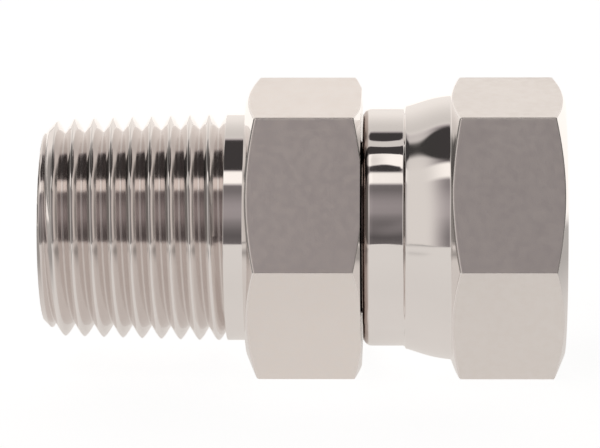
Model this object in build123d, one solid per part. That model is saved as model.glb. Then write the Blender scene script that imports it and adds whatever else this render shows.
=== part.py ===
"""Swivel pipe adapter: a turned body with a tapered male thread, and a crimped swivel nut.

Sizes are millimetres. The common axis runs along X, the male thread points to -X and
the nut's mouth to +X. Both hexagons lie on a flat, and that flat is at Z = 0.
Stations along the axis are counted from the male thread's end face, and the finished
pieces are moved so that X = 0 is the middle of the whole length.
"""
import math
import os

from build123d import *

os.makedirs("parts", exist_ok=True)

# Tapered male thread, 14 turns to the inch on a 1 in 16 taper
PITCH = 25.4 / 14
TAPER = 1 / 16
END_PITCH_DIAMETER = 19.264
THREAD_DEPTH = 0.8 * PITCH
THREAD_LENGTH = 17.3
TAPERED_CREST_LENGTH = 10.0
END_CHAMFER_ANGLE = 45.0
END_CHAMFER_DEPTH = 1.508
GROOVE_PHASE = 0.68
FLANK = math.tan(math.radians(30))
CUT_OVERRUN = 0.05

# Body between the thread and the nut
NECK_LENGTH = 1.85
BODY_HEX_LENGTH = 10.82

# Retaining shoulder, stem and cone nose inside the nut, each stepped in from the one before
SHOULDER_INSET = 0.47
SHOULDER_LENGTH = 2.0
STEM_STEP = 2.2
NOSE_STEP = 1.2
NOSE_ANGLE = 30.0
NOSE_LENGTH = 2.7

# Flow passage
STEM_WALL = 2.0
PASSAGE_CHAMFER = 0.4

# Swivel nut, outside: walls outwards from the stem's bore and from the thread
NUT_GAP = 0.15
COLLAR_LENGTH = 4.13
COLLAR_WALL = 2.90
COLLAR_ROUND = 0.8
CRIMPED_LENGTH = 3.6
FLARE_STEP = 0.25
FLARE_LENGTH = 4.11
FLARE_START_SLOPE = 14.0
FLARE_END_SLOPE = 5.0
FLARE_INSET = 0.22
NUT_HEX_LENGTH = 10.69
NUT_FLAT_WALL = 2.03

# Both hexagons, their corners turned off to a circle just inside the flats, or on the
# body's side next to the nut to a larger one
CHAMFER_ANGLE = 22.0
CHAMFER_INSET = 0.67
SMALL_CHAMFER_OUTSET = 0.38

# Ridges squeezed up between the eight crimping jaws
JAW_COUNT = 8
JAW_PHASE = 10.8
RIDGE_RADIUS = 3.8
RIDGE_HEIGHT = 0.23
RIDGE_OVERRUN = 0.1

# Swivel nut, inside
STEM_CLEARANCE = 0.35
TAIL_SLOPE = 40.0
TAIL_AXIAL_PLAY = 0.30
SWIVEL_CLEARANCE = 0.07
NOSE_TO_LAND = 0.2
LAND_LENGTH = 1.1
NUT_PITCH_CLEARANCE = 0.328
NUT_CREST_DEPTH = 0.31
MOUTH_OVERSIZE = 0.18

# Stations along the axis
hex_start = THREAD_LENGTH + NECK_LENGTH
hex_end = hex_start + BODY_HEX_LENGTH
nut_start = hex_end + NUT_GAP
flare_start = nut_start + COLLAR_LENGTH
nut_hex_start = flare_start + FLARE_LENGTH
nut_end = nut_hex_start + NUT_HEX_LENGTH

# Radii of the body: the neck is as thick as the pipe that the thread belongs to
end_root_radius = (END_PITCH_DIAMETER - THREAD_DEPTH) / 2
end_crest_radius = (END_PITCH_DIAMETER + THREAD_DEPTH) / 2
end_face_radius = end_crest_radius - END_CHAMFER_DEPTH
neck_radius = end_crest_radius + TAPERED_CREST_LENGTH * TAPER / 2
shoulder_radius = neck_radius - SHOULDER_INSET
stem_radius = shoulder_radius - STEM_STEP
nose_root_radius = shoulder_radius - NOSE_STEP
passage_radius = stem_radius - STEM_WALL

# Radii of the nut's thread, of its outside and of both hexagons
nut_pitch_radius = END_PITCH_DIAMETER / 2 + NUT_PITCH_CLEARANCE
nut_minor_radius = nut_pitch_radius - NUT_CREST_DEPTH
nut_major_radius = neck_radius
mouth_radius = nut_major_radius + MOUTH_OVERSIZE
tail_bore_radius = stem_radius + STEM_CLEARANCE
collar_radius = tail_bore_radius + COLLAR_WALL
flare_start_radius = collar_radius + FLARE_STEP
half_flats = nut_major_radius + NUT_FLAT_WALL
flare_end_radius = half_flats - FLARE_INSET
chamfer_radius = half_flats - CHAMFER_INSET
small_chamfer_radius = half_flats + SMALL_CHAMFER_OUTSET

# The crimped tail closes behind the shoulder: two parallel cones a little apart
shoulder_bore_radius = shoulder_radius + SWIVEL_CLEARANCE
tail_run = 1 / math.tan(math.radians(TAIL_SLOPE))
tail_cone_start = flare_start - 0.2
tail_cone_end = tail_cone_start + (shoulder_bore_radius - tail_bore_radius) * tail_run
shoulder_start = tail_cone_start + TAIL_AXIAL_PLAY + (shoulder_radius - tail_bore_radius) * tail_run
stem_end = tail_cone_start + TAIL_AXIAL_PLAY - STEM_CLEARANCE * tail_run
shoulder_end = shoulder_start + SHOULDER_LENGTH
nose_end = shoulder_end + NOSE_LENGTH
nose_tip_radius = nose_root_radius - NOSE_LENGTH * math.tan(math.radians(NOSE_ANGLE))
land_start = nose_end + NOSE_TO_LAND
mouth_start = nut_end - (mouth_radius - nut_minor_radius)


def turned(points):
    """A turned solid from (station, radius) points, closed along the axis."""
    outline = [(points[0][0], 0), *points, (points[-1][0], 0)]
    profile = make_face(Polyline(*outline, close=True))
    return revolve(profile, Axis.X)


def chamfered_hexagon(start, end, start_radius, end_radius):
    """Hexagonal bar lying on a flat, its corners turned off at both ends."""
    slope = math.tan(math.radians(CHAMFER_ANGLE))
    corner = half_flats / math.cos(math.radians(30))
    bar = extrude(Plane.YZ.offset(start) * RegularPolygon(corner, 6), end - start)
    lathe = turned([
        (start, start_radius),
        (start + (corner - start_radius) * slope, corner),
        (end - (corner - end_radius) * slope, corner),
        (end, end_radius),
    ])
    return bar & lathe


def thread_groove(first_station, turns, corners, taper=0.0):
    """One-turn tools that follow each other round a right-handed V groove.

    corners are the (radius, station) corners of the groove's section where it starts,
    on the underside; each turn starts where the last one ended.
    """
    cone = math.atan(taper / 2)
    tools = []
    for turn in range(turns):
        step = turn * PITCH
        edges = [
            Pos(0, 0, first_station + station + step) * Helix(
                pitch=PITCH / math.cos(cone),
                height=PITCH,
                radius=radius + step * taper / 2,
                cone_angle=math.degrees(cone),
            )
            for radius, station in corners
        ]
        edges = [edge.edges()[0] for edge in edges]
        flanks = [
            Face.make_surface_from_curves(edge, following)
            for edge, following in zip(edges, edges[1:] + edges[:1])
        ]
        ends = [
            Face(Wire.make_polygon([edge @ end for edge in edges], close=True))
            for end in (0, 1)
        ]
        tools.append(Rot(0, 90, 0) * Solid(Shell(flanks + ends)))
    return tools


# Adapter body: the threaded end
end_slope = math.tan(math.radians(END_CHAMFER_ANGLE))
end_chamfer = END_CHAMFER_DEPTH / (end_slope - TAPER / 2)
threaded_end = turned([
    (0, end_face_radius),
    (end_chamfer, end_face_radius + end_chamfer * end_slope),
    (TAPERED_CREST_LENGTH, neck_radius),
    (THREAD_LENGTH, neck_radius),
])
groove_start = -GROOVE_PHASE - PITCH
groove_turns = math.ceil((THREAD_LENGTH - groove_start) / PITCH) + 1
groove_root = end_root_radius + groove_start * TAPER / 2
groove_half = (PITCH / 2 - THREAD_DEPTH * FLANK) / 2
groove_top = THREAD_DEPTH + CUT_OVERRUN
for tool in thread_groove(
    groove_start,
    groove_turns,
    [
        (groove_root, -groove_half),
        (groove_root + groove_top, -groove_half - groove_top * FLANK),
        (groove_root + groove_top, groove_half + groove_top * FLANK),
        (groove_root, groove_half),
    ],
    TAPER,
):
    threaded_end -= tool

# Adapter body: neck, hexagon, stem, shoulder and nose, drilled through
adapter_body = threaded_end + turned([
    (THREAD_LENGTH, neck_radius),
    (hex_start + 1, neck_radius),
    (hex_start + 1, stem_radius),
    (stem_end, stem_radius),
    (shoulder_start, shoulder_radius),
    (shoulder_end, shoulder_radius),
    (shoulder_end, nose_root_radius),
    (nose_end, nose_tip_radius),
])
adapter_body += chamfered_hexagon(hex_start, hex_end, chamfer_radius, small_chamfer_radius)
adapter_body -= turned([
    (0, passage_radius + PASSAGE_CHAMFER),
    (PASSAGE_CHAMFER, passage_radius),
    (nose_end - PASSAGE_CHAMFER, passage_radius),
    (nose_end, passage_radius + PASSAGE_CHAMFER),
])

# Swivel nut: outside, the flare drawn as an S between the collar's slope and the hexagon's
collar_round_start = nut_start + COLLAR_ROUND
flare_start_slope = math.tan(math.radians(FLARE_START_SLOPE))
flare_end_slope = math.tan(math.radians(FLARE_END_SLOPE))
flare_start_handle = 0.35 * FLARE_LENGTH
flare_end_handle = 0.45 * FLARE_LENGTH
flare = make_face([
    Line((nut_start, 0), (nut_start, collar_radius - COLLAR_ROUND)),
    ThreePointArc(
        (nut_start, collar_radius - COLLAR_ROUND),
        (
            collar_round_start - COLLAR_ROUND * math.cos(math.pi / 4),
            collar_radius - COLLAR_ROUND + COLLAR_ROUND * math.sin(math.pi / 4),
        ),
        (collar_round_start, collar_radius),
    ),
    Line((collar_round_start, collar_radius), (nut_start + CRIMPED_LENGTH, collar_radius)),
    Line((nut_start + CRIMPED_LENGTH, collar_radius), (flare_start, flare_start_radius)),
    Bezier(
        (flare_start, flare_start_radius),
        (
            flare_start + flare_start_handle,
            flare_start_radius + flare_start_handle * flare_start_slope,
        ),
        (
            nut_hex_start - flare_end_handle,
            flare_end_radius - flare_end_handle * flare_end_slope,
        ),
        (nut_hex_start, flare_end_radius),
    ),
    Line((nut_hex_start, flare_end_radius), (nut_hex_start, 0)),
    Line((nut_hex_start, 0), (nut_start, 0)),
])
swivel_nut = revolve(flare, Axis.X)
swivel_nut += chamfered_hexagon(nut_hex_start, nut_end, flare_end_radius, chamfer_radius)

# Swivel nut: the ridges between the jaws
ridge_length = COLLAR_LENGTH - COLLAR_ROUND + RIDGE_OVERRUN
ridge_centre = collar_radius + RIDGE_HEIGHT - RIDGE_RADIUS
for jaw in range(JAW_COUNT):
    turn = Rot(-(JAW_PHASE + jaw * 360 / JAW_COUNT), 0, 0)
    ridge = extrude(Plane.YZ * Pos(-ridge_centre, 0) * Circle(RIDGE_RADIUS), ridge_length)
    swivel_nut += turn * Pos(collar_round_start, 0, 0) * ridge

# Swivel nut: inside, with a plain land where the tap stops short of the shoulder's bore
swivel_nut -= turned([
    (nut_start, tail_bore_radius),
    (tail_cone_start, tail_bore_radius),
    (tail_cone_end, shoulder_bore_radius),
    (land_start, shoulder_bore_radius),
    (land_start, nut_minor_radius),
    (mouth_start, nut_minor_radius),
    (nut_end, mouth_radius),
])
nut_crest = nut_minor_radius - CUT_OVERRUN
nut_root_half = PITCH / 4 - (nut_major_radius - nut_pitch_radius) * FLANK
nut_crest_half = PITCH / 4 + (nut_pitch_radius - nut_crest) * FLANK
nut_groove_start = land_start + LAND_LENGTH + nut_root_half
nut_groove_turns = math.ceil((nut_end - nut_groove_start) / PITCH) + 1
for tool in thread_groove(
    nut_groove_start,
    nut_groove_turns,
    [
        (nut_major_radius, -nut_root_half),
        (nut_crest, -nut_crest_half),
        (nut_crest, nut_crest_half),
        (nut_major_radius, nut_root_half),
    ],
):
    swivel_nut -= tool

# Both pieces to the shared frame, then out
to_frame = Pos(-nut_end / 2, 0, half_flats)
for name, piece in (("adapter_body", adapter_body), ("swivel_nut", swivel_nut)):
    placed = to_frame * piece
    placed.label = name
    export_step(placed, f"parts/{name}.step")
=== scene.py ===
"""Swivel pipe adapter, dressed for its photograph: a turned body with a tapered thread, and a crimped nut."""
import math

import bpy
import numpy as np
from mathutils import Matrix, Vector


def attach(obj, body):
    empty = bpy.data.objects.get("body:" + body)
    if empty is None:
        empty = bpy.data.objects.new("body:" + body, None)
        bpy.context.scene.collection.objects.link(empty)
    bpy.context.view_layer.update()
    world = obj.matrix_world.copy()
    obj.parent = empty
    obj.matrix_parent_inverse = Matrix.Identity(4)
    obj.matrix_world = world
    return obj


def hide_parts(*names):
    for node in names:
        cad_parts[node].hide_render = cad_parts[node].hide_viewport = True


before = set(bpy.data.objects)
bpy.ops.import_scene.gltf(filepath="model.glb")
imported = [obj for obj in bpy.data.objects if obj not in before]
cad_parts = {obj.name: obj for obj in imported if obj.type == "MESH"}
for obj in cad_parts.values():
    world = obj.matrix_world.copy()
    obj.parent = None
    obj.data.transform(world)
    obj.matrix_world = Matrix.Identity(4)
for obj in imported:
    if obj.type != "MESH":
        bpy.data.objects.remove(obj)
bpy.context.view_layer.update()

# Adapter body. The real one is turned from hexagon bar and bright plated: pipe thread,
# neck, hexagon, then the stem, shoulder and cone nose that the nut hides. It is drilled
# right through. Its outline is turned row by row, and the thread is cut by a node tree.
MM = 0.001
PITCH = 25.4 / 14
THREAD_DEPTH = 0.8 * PITCH
FLANK_SLOPE = math.tan(math.radians(30))
RADIUS_TAPER = 1 / 32
END_PITCH_DIAMETER = 19.264
GROOVE_PHASE = 0.68
END_FACE_RADIUS = 8.85
THREAD_LENGTH = 17.3
HEX_START = THREAD_LENGTH + 1.85
HEX_END = HEX_START + 10.82
MID_LENGTH = 24.525
AXIS_HEIGHT = 12.70
HALF_FLATS = 12.70
CHAMFER_RADIUS = HALF_FLATS - 0.67
SMALL_CHAMFER_RADIUS = HALF_FLATS + 0.38
CHAMFER_SLOPE = math.tan(math.radians(22))
NECK_RADIUS, SHOULDER_RADIUS, NOSE_ROOT_RADIUS, STEM_RADIUS = 10.67, 10.20, 9.0, 8.0
NOSE_TIP_RADIUS = 7.441
PASSAGE_RADIUS, PASSAGE_CHAMFER = 6.0, 0.4
STEM_END, SHOULDER_START = 33.933, 36.555
SHOULDER_END = SHOULDER_START + 2.0
NOSE_END = SHOULDER_END + 2.7

# roundings of the bar's edges, of turned edges and of the finest ones
BAR_EDGE, TURNED_EDGE, FINE_EDGE = 0.22, 0.12, 0.10
STEM_FILLET, NECK_EDGE = 0.2, 0.08
# the largest share of a corner's side that its rounding takes, and the least length that counts as a side
LONGEST_ROUNDING, LEAST_LENGTH = 0.45, 1e-9
# the least length of a chamfer or step that would otherwise vanish between the corners
LEAST_STEP = 0.02
# plain rings on a face, beside the rows of a thread
FACE_RING, NECK_RING, NUT_RING = 0.25, 0.35, 0.1
# the outline starts and ends in the passage
OUTLINE_START, OUTLINE_END = THREAD_LENGTH, THREAD_LENGTH + 8

# rows for half a turn of thread, from groove to crest, and more of them where the neck cuts the crests
HALF_TURN = [0, 0.015, 0.03, 0.05, 0.19, 0.24, 0.29, 0.34, 0.39, 0.445, 0.5]
NEAR_NECK = [0.315, 0.365, 0.415]

# columns run once round from the underside, in degrees, closer together at the hexagon's corners
COLUMN_STEP = 1.5
BESIDE_CORNER = np.array([0.25, 0.55, 0.9, 1.4, 2.1])
around = np.arange(0, 361, COLUMN_STEP)
for corner in range(30, 360, 60):
    around = around[np.abs(around - corner) > BESIDE_CORNER[-1]]
    around = np.concatenate([around, corner - BESIDE_CORNER, [corner], corner + BESIDE_CORNER])
around = np.radians(np.sort(around))
columns = len(around)


def bar_radius(angles, half_flats, edge_radius):
    """Distance from the axis to the side of a hexagon bar with slightly rounded corners."""
    off_flat = (angles + math.pi / 6) % (math.pi / 3) - math.pi / 6
    off_corner = math.pi / 6 - np.abs(off_flat)
    centre = (half_flats - edge_radius) / math.cos(math.pi / 6)
    reach = math.atan2(edge_radius / 2, centre + edge_radius * math.cos(math.pi / 6))
    inside = np.clip(edge_radius**2 - (centre * np.sin(off_corner))**2, 0, None)
    rounded = centre * np.cos(off_corner) + np.sqrt(inside)
    return np.where(off_corner < reach, rounded, half_flats / np.cos(off_flat))


def outline_rows(points):
    """Rows of an outline from (station, radius, rounding) corners, each with its corner rounded off."""
    path = np.array([[np.broadcast_to(station, columns), np.broadcast_to(radius, columns)]
                     for station, radius, _ in points], float)
    rows = []
    for i, (_, _, rounding) in enumerate(points):
        here = path[i]
        if not rounding or i in (0, len(points) - 1):
            rows.append(here)
            continue
        ends = []
        for side in (path[i - 1] - here, path[i + 1] - here):
            length = np.maximum(np.hypot(*side), LEAST_LENGTH)
            ends.append(here + side * (np.minimum(rounding, LONGEST_ROUNDING * length) / length))
        for t in (0, 0.25, 0.5, 0.75, 1):
            rows.append((1 - t)**2 * ends[0] + 2 * t * (1 - t) * here + t**2 * ends[1])
    return rows


def thread_turns(first, last, cut_crests_from=None):
    """Turn numbers of the rows that follow a thread, close together at its crests and roots."""
    turns = []
    for turn in range(math.floor(first), math.ceil(last)):
        cut_crests = cut_crests_from is not None and turn >= cut_crests_from
        shares = np.array(HALF_TURN + (NEAR_NECK if cut_crests else []))
        turns += [*(turn + shares), *(turn + 1 - shares)]
    turns = np.unique(np.round(turns, 4))
    return turns[(turns >= first) & (turns <= last)]


def turned_mesh(name, before, turns, after):
    """A mesh turned round the axis: plain rows, thread rows that a tree will place, and plain rows again."""
    unplaced = [np.array([np.zeros(columns), np.full(columns, PASSAGE_RADIUS)])] * len(turns)
    rows = before + unplaced + after
    along = np.concatenate([np.zeros(len(before)), turns, np.zeros(len(after))])
    threaded = np.concatenate([np.zeros(len(before)), np.ones(len(turns)), np.zeros(len(after))])
    stations = np.array([row[0] for row in rows]) * MM
    radii = np.array([row[1] for row in rows]) * MM
    angles = np.broadcast_to(around, stations.shape)
    places = np.stack([stations - MID_LENGTH * MM, radii * np.sin(angles),
                       AXIS_HEIGHT * MM - radii * np.cos(angles)], -1).reshape(-1, 3)
    near = np.arange(stations.size).reshape(stations.shape)
    far = np.roll(near, -1, 0)
    faces = np.stack([near[:, :-1], near[:, 1:], far[:, 1:], far[:, :-1]], -1).reshape(-1, 4)
    mesh = bpy.data.meshes.new(name)
    mesh.from_pydata(places.tolist(), [], faces.tolist())
    marks = {"around": angles / (2 * math.pi),
             "along": np.broadcast_to(along[:, None], stations.shape),
             "threaded": np.broadcast_to(threaded[:, None], stations.shape)}
    for mark, values in marks.items():
        mesh.attributes.new(mark, "FLOAT", "POINT").data.foreach_set(
            "value", np.ascontiguousarray(values, np.float32).ravel())
    mesh.shade_smooth()
    piece = bpy.data.objects.new(name, mesh)
    bpy.context.scene.collection.objects.link(piece)
    return piece


def open_tree(name, sizes):
    """A geometry tree with a mesh, named sizes and a material as its inputs."""
    tree = bpy.data.node_groups.new(name, "GeometryNodeTree")
    tree.interface.new_socket("Geometry", in_out="INPUT", socket_type="NodeSocketGeometry")
    tree.interface.new_socket("Geometry", in_out="OUTPUT", socket_type="NodeSocketGeometry")
    for size in sizes:
        tree.interface.new_socket(size, in_out="INPUT", socket_type="NodeSocketFloat")
    tree.interface.new_socket("Material", in_out="INPUT", socket_type="NodeSocketMaterial")
    return tree, tree.nodes.new("NodeGroupInput").outputs


def close_tree(tree, given, geometry):
    """The tree's end: instances made real, and the material put on."""
    realize = tree.nodes.new("GeometryNodeRealizeInstances")
    paint = tree.nodes.new("GeometryNodeSetMaterial")
    result = tree.nodes.new("NodeGroupOutput")
    tree.links.new(geometry, realize.inputs["Geometry"])
    tree.links.new(realize.outputs["Geometry"], paint.inputs["Geometry"])
    tree.links.new(given["Material"], paint.inputs["Material"])
    tree.links.new(paint.outputs["Geometry"], result.inputs["Geometry"])


def add_tree(piece, tree, values):
    """The tree as a modifier of the piece, with each input set by its socket's identifier."""
    modifier = piece.modifiers.new(tree.name, "NODES")
    modifier.node_group = tree
    sockets = {item.name: item.identifier for item in tree.interface.items_tree
               if item.in_out == "INPUT"}
    for name, value in values.items():
        modifier[sockets[name]] = value


def reckoner(tree):
    """A short way to write sums in a node tree, as in calc("ADD", a, b)."""
    def sum_of(operation, *terms, clamp=False):
        node = tree.nodes.new("ShaderNodeMath")
        node.operation = operation
        node.use_clamp = clamp
        for socket, term in zip(node.inputs, terms):
            if isinstance(term, bpy.types.NodeSocket):
                tree.links.new(term, socket)
            else:
                socket.default_value = term
        return node.outputs[0]
    return sum_of


def read_mark(tree, mark):
    """One of the marks that turned_mesh leaves on each point."""
    node = tree.nodes.new("GeometryNodeInputNamedAttribute")
    node.data_type = "FLOAT"
    node.inputs["Name"].default_value = mark
    return node.outputs["Attribute"]


def finished(piece, name):
    """The piece with its modifiers worked out, as a plain mesh whose larger faces lead the shading."""
    depsgraph = bpy.context.evaluated_depsgraph_get()
    mesh = bpy.data.meshes.new_from_object(
        piece.evaluated_get(depsgraph), preserve_all_data_layers=True, depsgraph=depsgraph)
    mesh.name = name
    facing = np.empty((len(mesh.polygons), 3), np.float32)
    area = np.empty(len(mesh.polygons), np.float32)
    sides = np.empty(len(mesh.polygons), np.int32)
    corners = np.empty(len(mesh.loops), np.int32)
    mesh.polygons.foreach_get("normal", facing.ravel())
    mesh.polygons.foreach_get("area", area)
    mesh.polygons.foreach_get("loop_total", sides)
    mesh.loops.foreach_get("vertex_index", corners)
    pulls = facing.astype(float) * area[:, None] / MM**2
    normals = np.zeros((len(mesh.vertices), 3))
    np.add.at(normals, corners, np.repeat(pulls, sides, axis=0))
    normals /= np.maximum(np.linalg.norm(normals, axis=1, keepdims=True), 1e-12)
    mesh.normals_split_custom_set_from_vertices(normals.tolist())
    bpy.data.objects.remove(piece)
    final = bpy.data.objects.new(name, mesh)
    bpy.context.scene.collection.objects.link(final)
    return final


# how gently a crest and a root turn, as shares of a flank, and the thread meets its blank, in metres
CREST_ROUNDING, ROOT_ROUNDING = 0.70, 0.03
CHAMFER_BLEND, BLANK_BLEND = 0.08 * MM, 0.03 * MM
SAME_POINT = 0.002 * MM

thread_tree, given = open_tree("cut_thread", [
    "Pitch", "Radius Taper", "Root Radius", "Depth", "Root Flat", "Flank Width", "Phase", "Start", "End",
    "Side", "Blank Radius", "Face Station", "Face Radius", "Middle", "Axis Height"])
calc = reckoner(thread_tree)
turn_fraction, along = read_mark(thread_tree, "around"), read_mark(thread_tree, "along")
# where the row lies along the axis, held between the thread's two ends
station = calc("ADD", calc("MULTIPLY", calc("ADD", turn_fraction, along), given["Pitch"]), given["Phase"])
station = calc("MINIMUM", calc("MAXIMUM", station, given["Start"]), given["End"])
# how far that is from the nearest groove, and so how high up the flank
turns_on = calc("SUBTRACT", calc("DIVIDE", calc("SUBTRACT", station, given["Phase"]), given["Pitch"]),
                turn_fraction)
from_groove = calc("MULTIPLY", calc("ABSOLUTE", calc("SUBTRACT", turns_on, calc("ROUND", turns_on))),
                   given["Pitch"])
flank = calc("DIVIDE", calc("SUBTRACT", from_groove, given["Root Flat"]), given["Flank Width"])
flank = calc("SMOOTH_MAX", calc("SMOOTH_MIN", flank, 1.0, CREST_ROUNDING), 0.0, ROOT_ROUNDING)
cut = calc("ADD", calc("ADD", given["Root Radius"], calc("MULTIPLY", station, given["Radius Taper"])),
           calc("MULTIPLY", given["Depth"], flank))
# the blank and the end's chamfer limit the crests: Side is 1 on an outside thread, -1 on an inside one
side = given["Side"]
chamfer = calc("ADD", calc("MULTIPLY", side, given["Face Radius"]),
               calc("ABSOLUTE", calc("SUBTRACT", station, given["Face Station"])))
limit = calc("SMOOTH_MIN", calc("MULTIPLY", side, given["Blank Radius"]), chamfer, CHAMFER_BLEND)
radius = calc("MULTIPLY", side, calc("SMOOTH_MIN", calc("MULTIPLY", side, cut), limit, BLANK_BLEND))
swing = calc("MULTIPLY", turn_fraction, 2 * math.pi)
place = thread_tree.nodes.new("ShaderNodeCombineXYZ")
thread_tree.links.new(calc("SUBTRACT", station, given["Middle"]), place.inputs["X"])
thread_tree.links.new(calc("MULTIPLY", radius, calc("SINE", swing)), place.inputs["Y"])
thread_tree.links.new(calc("SUBTRACT", given["Axis Height"], calc("MULTIPLY", radius, calc("COSINE", swing))),
                      place.inputs["Z"])
move = thread_tree.nodes.new("GeometryNodeSetPosition")
thread_tree.links.new(given["Geometry"], move.inputs["Geometry"])
thread_tree.links.new(calc("GREATER_THAN", read_mark(thread_tree, "threaded"), 0.5), move.inputs["Selection"])
thread_tree.links.new(place.outputs["Vector"], move.inputs["Position"])
# joins the first column to the last wherever their rows meet, and the rows held at the thread's ends
weld = thread_tree.nodes.new("GeometryNodeMergeByDistance")
weld.inputs["Distance"].default_value = SAME_POINT
thread_tree.links.new(move.outputs["Geometry"], weld.inputs["Geometry"])
close_tree(thread_tree, given, weld.outputs["Geometry"])

bar = bar_radius(around, HALF_FLATS, BAR_EDGE)
hex_chamfer = (bar - CHAMFER_RADIUS) * CHAMFER_SLOPE
small_chamfer = np.maximum(bar - SMALL_CHAMFER_RADIUS, LEAST_STEP) * CHAMFER_SLOPE
before_thread = outline_rows([
    (OUTLINE_START, PASSAGE_RADIUS, 0),
    (PASSAGE_CHAMFER, PASSAGE_RADIUS, TURNED_EDGE),
    (0, PASSAGE_RADIUS + PASSAGE_CHAMFER, TURNED_EDGE),
    (0, END_FACE_RADIUS - FACE_RING, 0)])
after_thread = outline_rows([
    (THREAD_LENGTH, NECK_RADIUS - NECK_RING, 0),
    (THREAD_LENGTH, NECK_RADIUS, NECK_EDGE),
    (HEX_START, NECK_RADIUS, FINE_EDGE),
    (HEX_START, CHAMFER_RADIUS, FINE_EDGE),
    (HEX_START + hex_chamfer, bar, BAR_EDGE),
    (HEX_END - small_chamfer, bar, TURNED_EDGE),
    (HEX_END, np.minimum(bar - LEAST_STEP, SMALL_CHAMFER_RADIUS), FINE_EDGE),
    (HEX_END, STEM_RADIUS, STEM_FILLET),
    (STEM_END, STEM_RADIUS, STEM_FILLET),
    (SHOULDER_START, SHOULDER_RADIUS, TURNED_EDGE),
    (SHOULDER_END, SHOULDER_RADIUS, TURNED_EDGE),
    (SHOULDER_END, NOSE_ROOT_RADIUS, TURNED_EDGE),
    (NOSE_END, NOSE_TIP_RADIUS, TURNED_EDGE),
    (NOSE_END, PASSAGE_RADIUS + PASSAGE_CHAMFER, TURNED_EDGE),
    (NOSE_END - PASSAGE_CHAMFER, PASSAGE_RADIUS, TURNED_EDGE),
    (OUTLINE_END, PASSAGE_RADIUS, 0)])
# the turns run past both ends of the thread, where the tree holds their rows
body_blank = turned_mesh("body_blank", before_thread, thread_turns(-1.5, 10.25, cut_crests_from=6),
                         after_thread)

plated = bpy.data.materials.new("bright_plating")
plated.use_nodes = True

end_root = (END_PITCH_DIAMETER - THREAD_DEPTH) / 2
root_flat = (PITCH / 2 - THREAD_DEPTH * FLANK_SLOPE) / 2
add_tree(body_blank, thread_tree, {
    "Pitch": PITCH * MM, "Radius Taper": RADIUS_TAPER, "Root Radius": end_root * MM,
    "Depth": THREAD_DEPTH * MM, "Root Flat": root_flat * MM,
    "Flank Width": (PITCH / 2 - 2 * root_flat) * MM, "Phase": -GROOVE_PHASE * MM,
    "Start": 0.0, "End": THREAD_LENGTH * MM, "Side": 1.0, "Blank Radius": NECK_RADIUS * MM,
    "Face Station": 0.0, "Face Radius": END_FACE_RADIUS * MM, "Middle": MID_LENGTH * MM,
    "Axis Height": AXIS_HEIGHT * MM, "Material": plated})
adapter_body = finished(body_blank, "adapter_body_turned")
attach(adapter_body, "body")
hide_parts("adapter_body")

# Swivel nut. Turned from the same bar, slid over the nose, and its tail crimped behind
# the shoulder by eight jaws, which squeeze up a low ridge between each two of them.
NUT_START = HEX_END + 0.15
FLARE_START = NUT_START + 4.13
NUT_HEX_START = FLARE_START + 4.11
NUT_END = NUT_HEX_START + 10.69
COLLAR_RADIUS, COLLAR_ROUND = 11.50, 0.8
FLARE_END_RADIUS = HALF_FLATS - 0.22
# the flare is an S curve: at each end, how long it keeps its slope, and that slope in degrees
FLARE_REACHES, FLARE_SLOPES = (1.70, 1.90), (17, 5.5)
FLARE_FILLET = 0.15
FLARE_CHAMFER_SLOPE = math.tan(math.radians(20))
TAIL_BORE_RADIUS, SHOULDER_BORE_RADIUS = 8.35, 10.27
TAIL_CONE_START, TAIL_CONE_END = 34.05, 36.338
LAND_START = NOSE_END + 0.2
LAND_END = LAND_START + 1.1
NUT_CREST_RADIUS, NUT_PITCH_RADIUS, NUT_ROOT_RADIUS, MOUTH_RADIUS = 9.65, 9.96, 10.67, 10.85

# the jaws press to a depth that fades out between two stations, and spare what lies further in
JAW_COUNT, RIDGE_PHASE, RIDGE_HALF_WIDTH = 8, 10.2, 8.3
JAW_DEPTH, JAW_BITE, PRESSED_UNTIL, FREE_FROM = 0.25, 4.7, 33.90, 34.17
OUTSIDE_FROM = 10.7
# each second ridge is the higher one, and all are wider at their ends
LOW_RIDGE, HIGH_RIDGE, END_WIDENING = 0.32, 0.74, 0.35


def from_middle(station):
    """A station along the axis as X of the finished object, in metres."""
    return (station - MID_LENGTH) * MM


ridge_tree, given = open_tree("crimp_ridges", [
    "Count", "Phase", "Half Width", "Depth", "Jaw Bite", "Start", "Pressed", "Free", "Least Radius",
    "Axis Height"])
calc = reckoner(ridge_tree)
parts = ridge_tree.nodes.new("ShaderNodeSeparateXYZ")
ridge_tree.links.new(ridge_tree.nodes.new("GeometryNodeInputPosition").outputs["Position"],
                     parts.inputs["Vector"])
station, across = parts.outputs["X"], parts.outputs["Y"]
height = calc("SUBTRACT", parts.outputs["Z"], given["Axis Height"])
from_axis = calc("SQRT", calc("ADD", calc("MULTIPLY", height, height), calc("MULTIPLY", across, across)))
angle = calc("ARCTAN2", height, calc("MULTIPLY", across, -1.0))
spacing = calc("DIVIDE", 2 * math.pi, given["Count"])
steps = calc("DIVIDE", calc("SUBTRACT", angle, given["Phase"]), spacing)
ridge_number = calc("ROUND", steps)
off_ridge = calc("MULTIPLY", calc("ABSOLUTE", calc("SUBTRACT", steps, ridge_number)), spacing)
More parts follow.
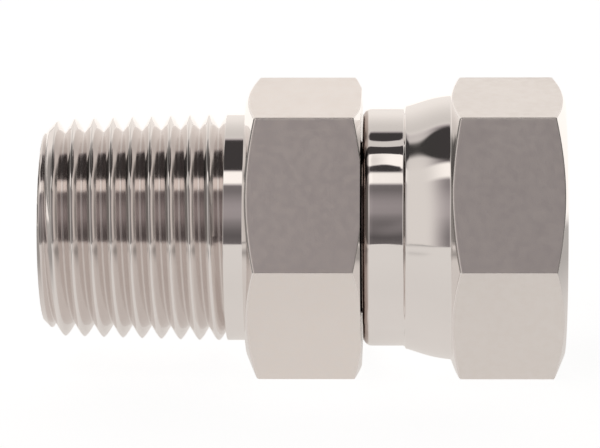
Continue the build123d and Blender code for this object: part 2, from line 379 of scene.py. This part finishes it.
# a ridge is narrowest halfway along the collar and widens towards both ends
ridge_run = calc("DIVIDE", calc("SUBTRACT", station, given["Start"]),
                 calc("SUBTRACT", given["Free"], given["Start"]))
off_middle = calc("SUBTRACT", calc("MULTIPLY", ridge_run, 2.0), 1.0)
widening = calc("MULTIPLY", calc("MULTIPLY", off_middle, off_middle), END_WIDENING)
half_width = calc("MULTIPLY", given["Half Width"], calc("ADD", 1.0, widening))
share = calc("DIVIDE", off_ridge, half_width, clamp=True)
ridge = calc("MULTIPLY", calc("ADD", calc("COSINE", calc("MULTIPLY", share, math.pi)), 1.0), 0.5)
is_high = calc("ABSOLUTE", calc("SINE", calc("MULTIPLY", ridge_number, 0.5 * math.pi)))
ridge = calc("MULTIPLY", ridge, calc("ADD", calc("MULTIPLY", is_high, HIGH_RIDGE - LOW_RIDGE), LOW_RIDGE))
# each jaw is a little rounder than the collar, so its edges bite in
bite = calc("POWER", calc("SUBTRACT", calc("MULTIPLY", spacing, 0.5), off_ridge), 2.0)
press = calc("MULTIPLY", calc("SUBTRACT", 1.0, ridge),
             calc("ADD", 1.0, calc("MULTIPLY", bite, given["Jaw Bite"])))
# the press fades out smoothly before the flare, and only moves the outside
fade = calc("DIVIDE", calc("SUBTRACT", given["Free"], station),
            calc("SUBTRACT", given["Free"], given["Pressed"]), clamp=True)
fade = calc("MULTIPLY", calc("MULTIPLY", fade, fade), calc("SUBTRACT", 3.0, calc("MULTIPLY", fade, 2.0)))
outside = calc("GREATER_THAN", from_axis, given["Least Radius"])
lift = calc("MULTIPLY", calc("MULTIPLY", calc("MULTIPLY", press, given["Depth"]), -1.0),
            calc("MULTIPLY", outside, fade))
per_radius = calc("DIVIDE", lift, from_axis)
offset = ridge_tree.nodes.new("ShaderNodeCombineXYZ")
ridge_tree.links.new(calc("MULTIPLY", across, per_radius), offset.inputs["Y"])
ridge_tree.links.new(calc("MULTIPLY", height, per_radius), offset.inputs["Z"])
move = ridge_tree.nodes.new("GeometryNodeSetPosition")
ridge_tree.links.new(given["Geometry"], move.inputs["Geometry"])
ridge_tree.links.new(offset.outputs["Vector"], move.inputs["Offset"])
close_tree(ridge_tree, given, move.outputs["Geometry"])

flare_chamfer = np.maximum(bar - FLARE_END_RADIUS, LEAST_STEP) * FLARE_CHAMFER_SLOPE
collar_edge = [(NUT_START + COLLAR_ROUND * (1 - math.cos(t)),
                COLLAR_RADIUS - COLLAR_ROUND * (1 - math.sin(t)), 0)
               for t in np.radians(np.arange(9, 91, 9))]
# rows stand closest where the press fades out
collar = [(NUT_START + t * (FLARE_START - NUT_START), COLLAR_RADIUS, 0)
          for t in np.concatenate([np.linspace(0.25, 0.85, 7), np.linspace(0.87, 1, 10)])]
rises = [reach * math.tan(math.radians(slope)) for reach, slope in zip(FLARE_REACHES, FLARE_SLOPES)]
flare_path = np.array([
    (FLARE_START, COLLAR_RADIUS),
    (FLARE_START + FLARE_REACHES[0], COLLAR_RADIUS + rises[0]),
    (NUT_HEX_START - FLARE_REACHES[1], FLARE_END_RADIUS - rises[1]),
    (NUT_HEX_START, FLARE_END_RADIUS)])
flare = [((1 - t)**3 * flare_path[0] + 3 * t * (1 - t)**2 * flare_path[1]
          + 3 * t**2 * (1 - t) * flare_path[2] + t**3 * flare_path[3]).tolist() + [0]
         for t in np.linspace(0, 1, 21)[1:-1]]
outside_rows = outline_rows([
    (LAND_START, SHOULDER_BORE_RADIUS, 0),
    (TAIL_CONE_END, SHOULDER_BORE_RADIUS, TURNED_EDGE),
    (TAIL_CONE_START, TAIL_BORE_RADIUS, TURNED_EDGE),
    (NUT_START, TAIL_BORE_RADIUS, TURNED_EDGE),
    (NUT_START, COLLAR_RADIUS - COLLAR_ROUND, 0),
    *collar_edge,
    *collar,
    *flare,
    (NUT_HEX_START, FLARE_END_RADIUS, FLARE_FILLET),
    (NUT_HEX_START + flare_chamfer, np.maximum(bar, FLARE_END_RADIUS + LEAST_STEP), BAR_EDGE),
    (NUT_END - hex_chamfer, bar, TURNED_EDGE),
    (NUT_END, CHAMFER_RADIUS, FINE_EDGE),
    (NUT_END, MOUTH_RADIUS + NUT_RING, 0)])
inside_rows = outline_rows([
    (LAND_END, NUT_CREST_RADIUS, 0),
    (LAND_START, NUT_CREST_RADIUS, TURNED_EDGE),
    (LAND_START, SHOULDER_BORE_RADIUS - NUT_RING, 0)])
nut_blank = turned_mesh("nut_blank", outside_rows, thread_turns(-0.9, 4.1)[::-1], inside_rows)
add_tree(nut_blank, ridge_tree, {
    "Count": float(JAW_COUNT), "Phase": math.radians(RIDGE_PHASE),
    "Half Width": math.radians(RIDGE_HALF_WIDTH), "Depth": JAW_DEPTH * MM, "Jaw Bite": JAW_BITE,
    "Start": from_middle(NUT_START), "Pressed": from_middle(PRESSED_UNTIL), "Free": from_middle(FREE_FROM),
    "Least Radius": OUTSIDE_FROM * MM, "Axis Height": AXIS_HEIGHT * MM, "Material": plated})
nut_depth = NUT_ROOT_RADIUS - NUT_CREST_RADIUS
nut_root_flat = PITCH / 4 - (NUT_ROOT_RADIUS - NUT_PITCH_RADIUS) * FLANK_SLOPE
add_tree(nut_blank, thread_tree, {
    "Pitch": PITCH * MM, "Radius Taper": 0.0, "Root Radius": NUT_ROOT_RADIUS * MM,
    "Depth": -nut_depth * MM, "Root Flat": nut_root_flat * MM, "Flank Width": nut_depth * FLANK_SLOPE * MM,
    "Phase": (LAND_END + nut_root_flat) * MM, "Start": LAND_END * MM, "End": NUT_END * MM, "Side": -1.0,
    "Blank Radius": NUT_CREST_RADIUS * MM, "Face Station": NUT_END * MM,
    "Face Radius": MOUTH_RADIUS * MM, "Middle": MID_LENGTH * MM, "Axis Height": AXIS_HEIGHT * MM,
    "Material": plated})
swivel_nut = finished(nut_blank, "swivel_nut_crimped")
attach(swivel_nut, "nut")
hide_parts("swivel_nut")

# Plating of both pieces, bright on bare steel. The cylinders and the thread are polished
# almost like a mirror, the hexagons' flats keep the drawn bar's satin skin, finely mottled
# with a few pits. Painted shade darkens the gap between the pieces, and a lighter painted shade the thread's
# flanks.
POLISHED_COLOUR = (0.90, 0.872, 0.86)
BODY_FLAT_COLOUR, NUT_FLAT_COLOUR = (0.935, 0.885, 0.855), (0.885, 0.845, 0.82)
FLANK_SHADE_COLOUR = (0.83, 0.79, 0.775)
GAP_SHADE_COLOUR = (0.42, 0.35, 0.32)
GAP_SHADE_SHARE = 0.9
POLISHED_ROUGHNESS, SATIN_ROUGHNESS = 0.055, (0.22, 0.30)
# the stretch of the noise over which the flats' mottling grows
MOTTLING_BAND = (0.3, 0.7)

nodes, links = plated.node_tree.nodes, plated.node_tree.links
calc = reckoner(plated.node_tree)
shader = nodes["Principled BSDF"]
shader.inputs["Metallic"].default_value = 1.0


def from_range(value, start, end, low=0.0, high=1.0):
    """value carried smoothly from one range to another."""
    node = value.id_data.nodes.new("ShaderNodeMapRange")
    node.interpolation_type = "SMOOTHSTEP"
    for name, number in (("From Min", start), ("From Max", end), ("To Min", low), ("To Max", high)):
        node.inputs[name].default_value = number
    value.id_data.links.new(value, node.inputs["Value"])
    return node.outputs["Result"]


def mixed(mask, low, high):
    """A colour that is low where the mask is 0 and high where it is 1."""
    tree = mask.id_data
    node = tree.nodes.new("ShaderNodeMix")
    node.data_type = "RGBA"
    tree.links.new(mask, node.inputs["Factor"])
    for name, colour in (("A", low), ("B", high)):
        if isinstance(colour, bpy.types.NodeSocket):
            tree.links.new(colour, node.inputs[name])
        else:
            node.inputs[name].default_value = (*colour, 1)
    return node.outputs["Result"]


def noise(scale, stretch=(1, 1, 1), detail=3.0):
    """Noise over the object's own coordinates, in features per millimetre, stretched by axis."""
    place = nodes.new("ShaderNodeMapping")
    place.inputs["Scale"].default_value = [scale / MM * factor for factor in stretch]
    links.new(coordinates, place.inputs["Vector"])
    texture = nodes.new("ShaderNodeTexNoise")
    texture.inputs["Scale"].default_value = 1.0
    texture.inputs["Detail"].default_value = detail
    texture.inputs["Roughness"].default_value = 0.55
    links.new(place.outputs["Vector"], texture.inputs["Vector"])
    return texture.outputs["Fac"]


coordinates = nodes.new("ShaderNodeTexCoord").outputs["Object"]
parts = nodes.new("ShaderNodeSeparateXYZ")
links.new(coordinates, parts.inputs["Vector"])
station, across = parts.outputs["X"], parts.outputs["Y"]
height = calc("SUBTRACT", parts.outputs["Z"], AXIS_HEIGHT * MM)
from_axis = calc("SQRT", calc("ADD", calc("MULTIPLY", across, across), calc("MULTIPLY", height, height)))
# the bar's six flats: a point on one lies half the bar's width from the axis
half_height, most_across = calc("MULTIPLY", height, 0.5), calc("MULTIPLY", across, math.sqrt(0.75))
slanted = calc("MAXIMUM", calc("ABSOLUTE", calc("ADD", half_height, most_across)),
               calc("ABSOLUTE", calc("SUBTRACT", half_height, most_across)))
farthest = calc("MAXIMUM", calc("ABSOLUTE", height), slanted)
satin = from_range(farthest, (HALF_FLATS - 0.05) * MM, (HALF_FLATS - 0.015) * MM)
# the gap between hexagon and nut, inside the collar's rounded edge, where painted shade darkens the colour
gap = calc("MULTIPLY", from_range(station, from_middle(HEX_END - 0.12), from_middle(HEX_END - 0.02)),
           from_range(station, from_middle(NUT_START + 0.10), from_middle(NUT_START + 0.38), 1.0, 0.0))
gap = calc("MULTIPLY", gap, from_range(from_axis, 11.6 * MM, 12.4 * MM, 1.0, 0.0))
# the pipe thread's flanks, below its crests, which get painted shade in their colour and a little more
# roughness
crest = calc("ADD", (end_root + THREAD_DEPTH + MID_LENGTH * RADIUS_TAPER) * MM,
             calc("MULTIPLY", station, RADIUS_TAPER))
below_crest = calc("SUBTRACT", calc("MINIMUM", crest, NECK_RADIUS * MM), from_axis)
flanks = calc("MULTIPLY", from_range(below_crest, 0.15 * MM, 0.55 * MM),
              calc("LESS_THAN", station, from_middle(THREAD_LENGTH - 0.02)))
# pits in the flats, few and small
cells = nodes.new("ShaderNodeTexVoronoi")
cells.inputs["Scale"].default_value = 0.9 / MM
links.new(coordinates, cells.inputs["Vector"])
tone = nodes.new("ShaderNodeSeparateColor")
links.new(cells.outputs["Color"], tone.inputs["Color"])
pits = calc("MULTIPLY", from_range(cells.outputs["Distance"], 0.05, 0.16, 1.0, 0.0),
            calc("GREATER_THAN", tone.outputs["Red"], 0.93))
pits = calc("MULTIPLY", pits, satin)
# fine mottling, streaks along the bar and broad clouds
mottling, streaks, clouds = noise(1.4, detail=4.0), noise(4.0, (0.12, 1, 1)), noise(0.16, detail=2.0)

on_nut = calc("GREATER_THAN", station, from_middle(HEX_END))
flats_colour = mixed(on_nut, BODY_FLAT_COLOUR, NUT_FLAT_COLOUR)
flats_share = calc("MULTIPLY", satin, from_range(mottling, *MOTTLING_BAND, 0.6, 1.0))
colour = mixed(flats_share, POLISHED_COLOUR, flats_colour)
# painted shade on the thread's flanks, down in the grooves
colour = mixed(flanks, colour, FLANK_SHADE_COLOUR)
# painted shade in the gap between the pieces, browner and darker than the plating
colour = mixed(calc("MULTIPLY", gap, GAP_SHADE_SHARE), colour, GAP_SHADE_COLOUR)
links.new(colour, shader.inputs["Base Color"])

satin_roughness = calc("MULTIPLY", satin, from_range(mottling, *MOTTLING_BAND, *SATIN_ROUGHNESS))
roughness = calc("ADD", POLISHED_ROUGHNESS, satin_roughness)
roughness = calc("ADD", roughness, calc("MULTIPLY", gap, 0.03))
roughness = calc("ADD", roughness, calc("MULTIPLY", flanks, 0.05))
roughness = calc("ADD", roughness, from_range(clouds, 0.45, 0.75, 0.0, 0.03))
links.new(roughness, shader.inputs["Roughness"])

# the flats are uneven, the polished rest hardly
relief = calc("ADD", calc("MULTIPLY", mottling, 0.5), calc("MULTIPLY", streaks, 0.5))
relief = calc("SUBTRACT", calc("MULTIPLY", relief, calc("ADD", calc("MULTIPLY", satin, 0.93), 0.07)), pits)
unevenness = nodes.new("ShaderNodeBump")
unevenness.inputs["Strength"].default_value = 0.35
unevenness.inputs["Distance"].default_value = 0.01 * MM
links.new(relief, unevenness.inputs["Height"])
links.new(unevenness.outputs["Normal"], shader.inputs["Normal"])

# Studio: white table and backdrop, light tents at the sides and behind, a dark card overhead
# and a grey one in front, which the polished metal mirrors. Directions are given by their
# roll about the object's axis, in degrees up from the front, and by how far they point sideways.
CARD_FOOT, CARD_SPAN = -10.0, 140.0
CARD_LEVELS = [
    (-10, 0.68), (-5, 0.62), (0, 0.12), (8, 0.095), (14, 0.125), (22, 0.20), (27, 0.27), (34, 0.285),
    (40, 0.265), (46, 0.215), (53, 0.15), (59, 0.15), (62.5, 0.93), (68, 0.93), (74, 0.93), (77, 0.05),
    (98, 0.045), (104, 0.07), (112, 0.13), (116, 0.17), (120, 0.60), (124, 0.65), (130, 0.72)]
OVERHEAD_ROLL, OVERHEAD_HALF_ROLL, OVERHEAD_HALF_WIDTH, OVERHEAD_LEVEL = 96.5, 20.0, 0.51, 0.045
BACKDROP_LEVEL = 1.15
LIGHT_TINT, CARD_TINT = (1.06, 1.0, 0.945), (1.12, 1.0, 1.0)

world = bpy.data.worlds.new("studio")
bpy.context.scene.world = world
world.use_nodes = True
tree = world.node_tree
calc = reckoner(tree)
parts = tree.nodes.new("ShaderNodeSeparateXYZ")
tree.links.new(tree.nodes.new("ShaderNodeTexCoord").outputs["Generated"], parts.inputs["Vector"])
to_right = parts.outputs["X"]
to_left = calc("MULTIPLY", to_right, -1.0)
sideways = calc("ABSOLUTE", to_right)
roll = calc("MULTIPLY", calc("ARCTAN2", parts.outputs["Z"], calc("MULTIPLY", parts.outputs["Y"], -1.0)),
            180 / math.pi)


def blend(mask, low, high):
    """low where the mask is 0, high where it is 1."""
    return calc("ADD", low, calc("MULTIPLY", mask, calc("SUBTRACT", high, low)))


# front card: how light it is from its foot up, with a bright slit high on it
card = tree.nodes.new("ShaderNodeFloatCurve")
tree.links.new(calc("DIVIDE", calc("SUBTRACT", roll, CARD_FOOT), CARD_SPAN), card.inputs["Value"])
curve = card.mapping.curves[0]
for i, (angle, value) in enumerate(CARD_LEVELS):
    place = ((angle - CARD_FOOT) / CARD_SPAN, value)
    # a new curve already has two points
    if i < 2:
        curve.points[i].location = place
    else:
        curve.points.new(*place)
    curve.points[i].handle_type = "VECTOR"
card.mapping.update()
inside = from_range(sideways, 0.10, 0.56, 1.0, 0.0)
card_level = calc("MULTIPLY", card.outputs["Value"], from_range(to_right, -0.045, 0.045, 1.10, 0.80))
level = blend(inside, 0.70, card_level)
# overhead card: an oval that narrows to the left
oval = calc("SQRT", calc(
    "ADD", calc("POWER", calc("DIVIDE", calc("SUBTRACT", roll, OVERHEAD_ROLL), OVERHEAD_HALF_ROLL), 2.0),
    calc("POWER", calc("DIVIDE", calc("MINIMUM", to_right, 0.0), OVERHEAD_HALF_WIDTH), 2.0)))
level = blend(from_range(oval, 0.90, 1.06, 1.0, 0.0), level, OVERHEAD_LEVEL)
# behind and above, light, and the same below the table's edge
level = blend(from_range(roll, 118, 124), level, from_range(roll, 122, 165, 0.62, 0.86))
level = blend(from_range(roll, -3, 0, 1.0, 0.0), level, 0.66)
# far out to the left it is darker, and darkest high up
level = calc("MULTIPLY", level, from_range(to_left, 0.64, 0.78, 1.0, 0.36))
high = calc("MULTIPLY", from_range(roll, 70, 82), from_range(roll, 118, 132, 1.0, 0.0))
level = blend(calc("MULTIPLY", high, from_range(to_left, 0.58, 0.66)), level, 0.10)
# it darkens sooner on the right, in front most of all, and far behind it is white
level = calc("MULTIPLY", level, from_range(to_right, 0.52, 0.66, 1.0, 0.25))
right_front = calc("MULTIPLY", from_range(to_right, 0.24, 0.48), from_range(roll, 60, 90, 1.0, 0.0))
level = blend(right_front, level, 0.18)
level = blend(from_range(roll, -150, -110, 1.0, 0.0), level, 1.0)
# the camera sees a plain white backdrop, and the metal mirrors the cards
background = tree.nodes["Background"]
ray = tree.nodes.new("ShaderNodeLightPath")
tree.links.new(blend(ray.outputs["Is Camera Ray"], level, BACKDROP_LEVEL), background.inputs["Strength"])
on_dark_card = calc("MULTIPLY", inside, from_range(card.outputs["Value"], 0.35, 0.6, 1.0, 0.0))
tree.links.new(mixed(on_dark_card, LIGHT_TINT, CARD_TINT), background.inputs["Color"])

# the table lies just under the object; it is grey with a glow that makes it white to the camera
TABLE_REACH, TABLE_DROP = 1.2, 0.05 * MM
TABLE_GREY, TABLE_GLOW = (0.30, 0.30, 0.30), 0.90
MIRRORED_TINT, SEEN_TINT = (1.05, 1.0, 0.95), (1.0, 1.0, 1.0)
table_mesh = bpy.data.meshes.new("table")
table_mesh.from_pydata([(x * TABLE_REACH, y * TABLE_REACH, -TABLE_DROP)
                        for x, y in ((-1, -1), (1, -1), (1, 1), (-1, 1))], [], [(0, 1, 2, 3)])
table = bpy.data.objects.new("table", table_mesh)
bpy.context.scene.collection.objects.link(table)
white = bpy.data.materials.new("white_table")
white.use_nodes = True
nodes, links = white.node_tree.nodes, white.node_tree.links
calc = reckoner(white.node_tree)
diffuse = nodes.new("ShaderNodeBsdfDiffuse")
diffuse.inputs["Color"].default_value = (*TABLE_GREY, 1)
glow = nodes.new("ShaderNodeEmission")
ray = nodes.new("ShaderNodeLightPath")
spot = nodes.new("ShaderNodeSeparateXYZ")
links.new(nodes.new("ShaderNodeTexCoord").outputs["Object"], spot.inputs["Vector"])
# what the metal mirrors of it: darker in front of the object, and past its ends
out, behind = calc("ABSOLUTE", spot.outputs["X"]), spot.outputs["Y"]
mirrored = calc("MULTIPLY", from_range(behind, 0.0, 0.03, 0.59, 0.86),
                calc("MAXIMUM", from_range(out, 0.028, 0.06, 1.0, 0.4),
                     from_range(behind, -0.12, -0.05, 1.0, 0.4)))
mirrored = calc("MULTIPLY", mirrored, from_range(out, 0.15, 0.35, 1.0, 0.45))
mirrored = calc("MAXIMUM", mirrored, calc("MULTIPLY", from_range(behind, 0.03, 0.06, 0.0, 0.95),
                                          from_range(out, 0.15, 0.3, 1.0, 0.0)))
links.new(calc("ADD", calc("MULTIPLY", ray.outputs["Is Camera Ray"], TABLE_GLOW),
               calc("MULTIPLY", ray.outputs["Is Glossy Ray"], mirrored)), glow.inputs["Strength"])
links.new(mixed(ray.outputs["Is Camera Ray"], MIRRORED_TINT, SEEN_TINT), glow.inputs["Color"])
both = nodes.new("ShaderNodeAddShader")
links.new(diffuse.outputs["BSDF"], both.inputs[0])
links.new(glow.outputs["Emission"], both.inputs[1])
links.new(both.outputs["Shader"], nodes["Material Output"].inputs["Surface"])
table_mesh.materials.append(white)

# Camera, at the photograph's viewing angle: 16.8 degrees above the axis and 380 mm away,
# opposite a point 11.4 mm right of the object's middle, and turned so that the object
# stands where the photograph has it.
DISTANCE, ELEVATION, FOOT = 380.0, math.radians(16.8), 11.4
IMAGE_WIDTH, PIXELS_PER_MM = 600, 10.585
FOOT_RIGHT_OF_CENTRE, AXIS_BELOW_CENTRE = 125, 3.09
SENSOR_WIDTH = 36
PIXELS_PER_RADIAN = PIXELS_PER_MM * DISTANCE
eye = Vector((FOOT, -DISTANCE * math.cos(ELEVATION), AXIS_HEIGHT + DISTANCE * math.sin(ELEVATION))) * MM
back = Vector((0, -math.cos(ELEVATION), math.sin(ELEVATION)))
right = Vector((1, 0, 0))
camera_data = bpy.data.cameras.new("camera")
camera_data.sensor_width = SENSOR_WIDTH
camera_data.lens = SENSOR_WIDTH * PIXELS_PER_RADIAN / IMAGE_WIDTH
camera = bpy.data.objects.new("camera", camera_data)
bpy.context.scene.collection.objects.link(camera)
yaw = math.atan(FOOT_RIGHT_OF_CENTRE / PIXELS_PER_RADIAN)
drop = math.atan(AXIS_BELOW_CENTRE / PIXELS_PER_RADIAN)
basis = Matrix((right, back.cross(right), back)).transposed()
turn = basis @ Matrix.Rotation(yaw, 3, "Y") @ Matrix.Rotation(drop, 3, "X")
camera.matrix_world = Matrix.Translation(eye) @ turn.to_4x4()
bpy.context.scene.camera = camera
bpy.context.scene.view_settings.view_transform = "Standard"
